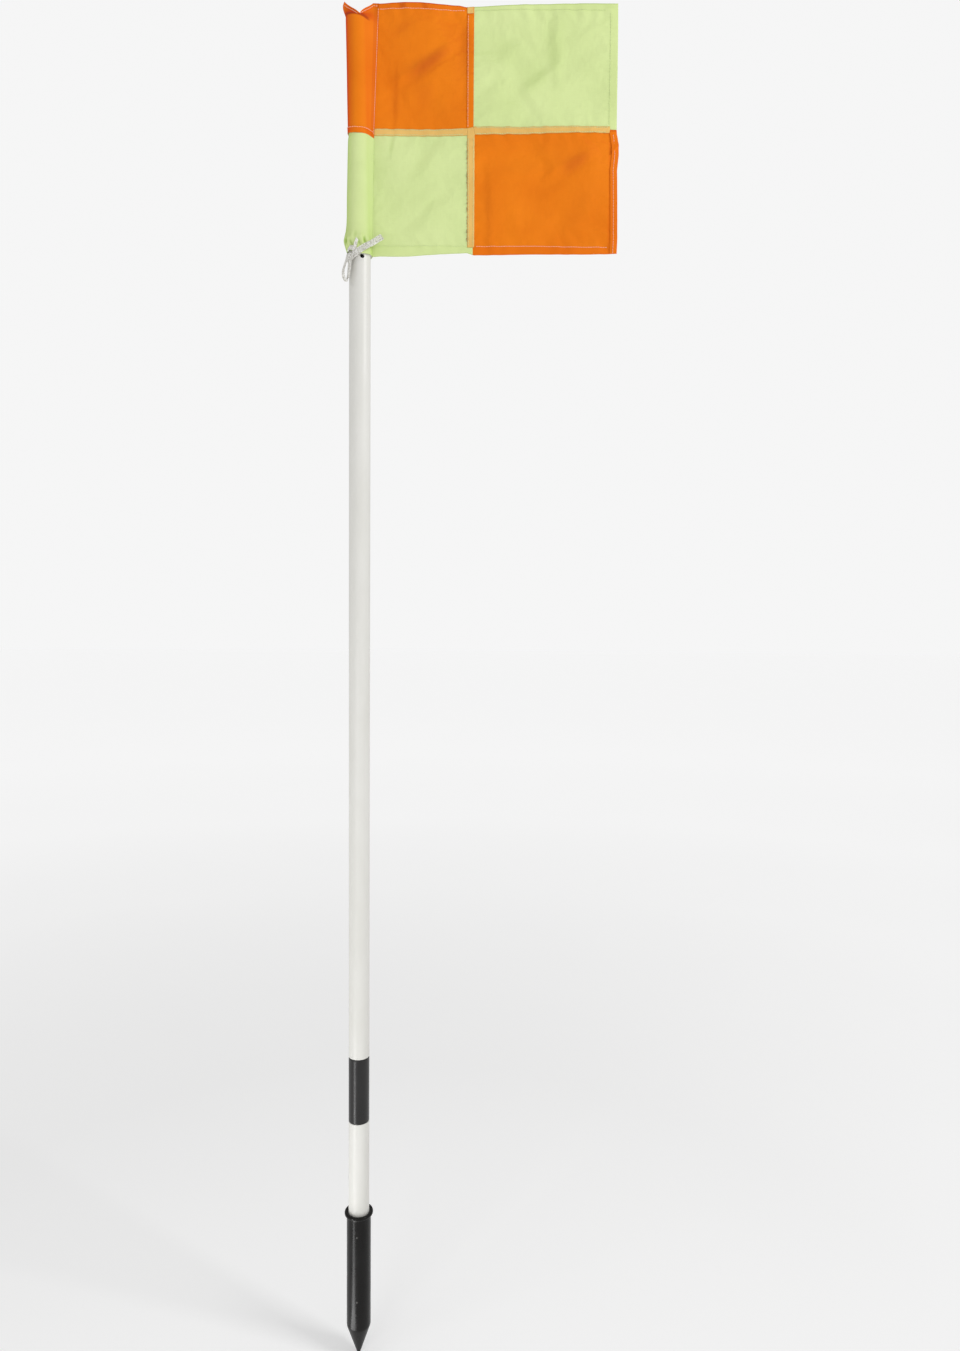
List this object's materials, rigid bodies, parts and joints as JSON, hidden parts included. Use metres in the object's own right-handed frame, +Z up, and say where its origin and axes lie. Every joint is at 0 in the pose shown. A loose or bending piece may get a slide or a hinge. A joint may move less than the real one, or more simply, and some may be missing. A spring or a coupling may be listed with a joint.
{
  "type": "corner flag post",
  "caption": "Sports-pitch corner flag post: white tube on a collared black ground spike, with a sprung rubber joint and a quartered flag sleeved over the top and tied below.",
  "frame": {"origin": "on the tube's axis at ground level, in the plane of the collar's underside", "axes": "+Z up along the tube, +X from the tube towards the flag's fly edge, -Y is the flag's front face"},
  "size_m": [0.3388, 0.0396, 1.72],
  "materials": {
    "tube_plastic": "smooth extruded white PVC, slightly scuffed",
    "spike_plastic": "moulded black plastic with a soft sheen",
    "plug_nylon": "turned natural nylon",
    "spring_steel": "zinc-plated spring wire",
    "joint_rubber": "dull black rubber",
    "cloth_orange": "plain-weave polyester, orange",
    "cloth_lime": "plain-weave polyester, pale yellow-green",
    "cloth_overlap": "yellow-green polyester lying over orange",
    "tie_tape": "flat braided cotton tape",
    "thread": "polyester sewing thread"
  },
  "bodies": {
    "base": {"ground_spike": "spike_plastic", "spike_pins": "spike_plastic", "lower_tube": "tube_plastic", "lower_plug": "plug_nylon"},
    "joint_core": {"return_spring": "spring_steel", "rubber_sleeve": "joint_rubber"},
    "post": {"upper_plug": "plug_nylon", "upper_tube": "tube_plastic", "top_cap": "tube_plastic", "sleeve_upper": "cloth_orange", "sleeve_lower": "cloth_lime", "sleeve_seam": "cloth_orange", "sleeve_stitching": "thread", "tie_wrap": "tie_tape", "tie_knot": "tie_tape", "tie_loop": "tie_tape", "tie_tail_long": "tie_tape", "tie_tail_short": "tie_tape"},
    "flag_inner": {"panel_inner_upper": "cloth_orange", "panel_inner_lower": "cloth_lime", "centre_seam": "cloth_orange", "lap_cross_inner": "cloth_overlap", "lap_centre_upper": "cloth_orange", "lap_centre_lower": "cloth_overlap", "hem_top_inner": "cloth_orange", "hem_bottom_inner": "cloth_lime", "stitching_inner": "thread"},
    "flag_outer": {"panel_outer_upper": "cloth_lime", "panel_outer_lower": "cloth_orange", "lap_cross_outer": "cloth_overlap", "hem_top_outer": "cloth_lime", "hem_bottom_outer": "cloth_orange", "hem_fly_upper": "cloth_lime", "hem_fly_lower": "cloth_orange", "stitching_outer": "thread"}
  },
  "joints": [
    {"name": "post_bend_fore", "type": "hinge", "parent": "base", "child": "joint_core", "pos_m": [0, 0, 0.14525], "axis": [1, 0, 0], "range_deg": [-85, 85], "stiffness_Nm_per_rad": 18, "deforming": ["rubber_sleeve", "return_spring"]},
    {"name": "post_bend_side", "type": "hinge", "parent": "joint_core", "child": "post", "pos_m": [0, 0, 0.18775], "axis": [0, 1, 0], "range_deg": [-85, 85], "stiffness_Nm_per_rad": 18, "deforming": ["rubber_sleeve", "return_spring"]},
    {"name": "flag_swing", "type": "hinge", "parent": "post", "child": "flag_inner", "pos_m": [0.0195, 0, 1.377], "axis": [0, 0, 1], "range_deg": [-100, 100], "deforming": ["tie_tail_long"]},
    {"name": "flag_fold", "type": "hinge", "parent": "flag_inner", "child": "flag_outer", "pos_m": [0.1415, 0, 1.377], "axis": [0, 0, 1], "range_deg": [-120, 120]}
  ]
}
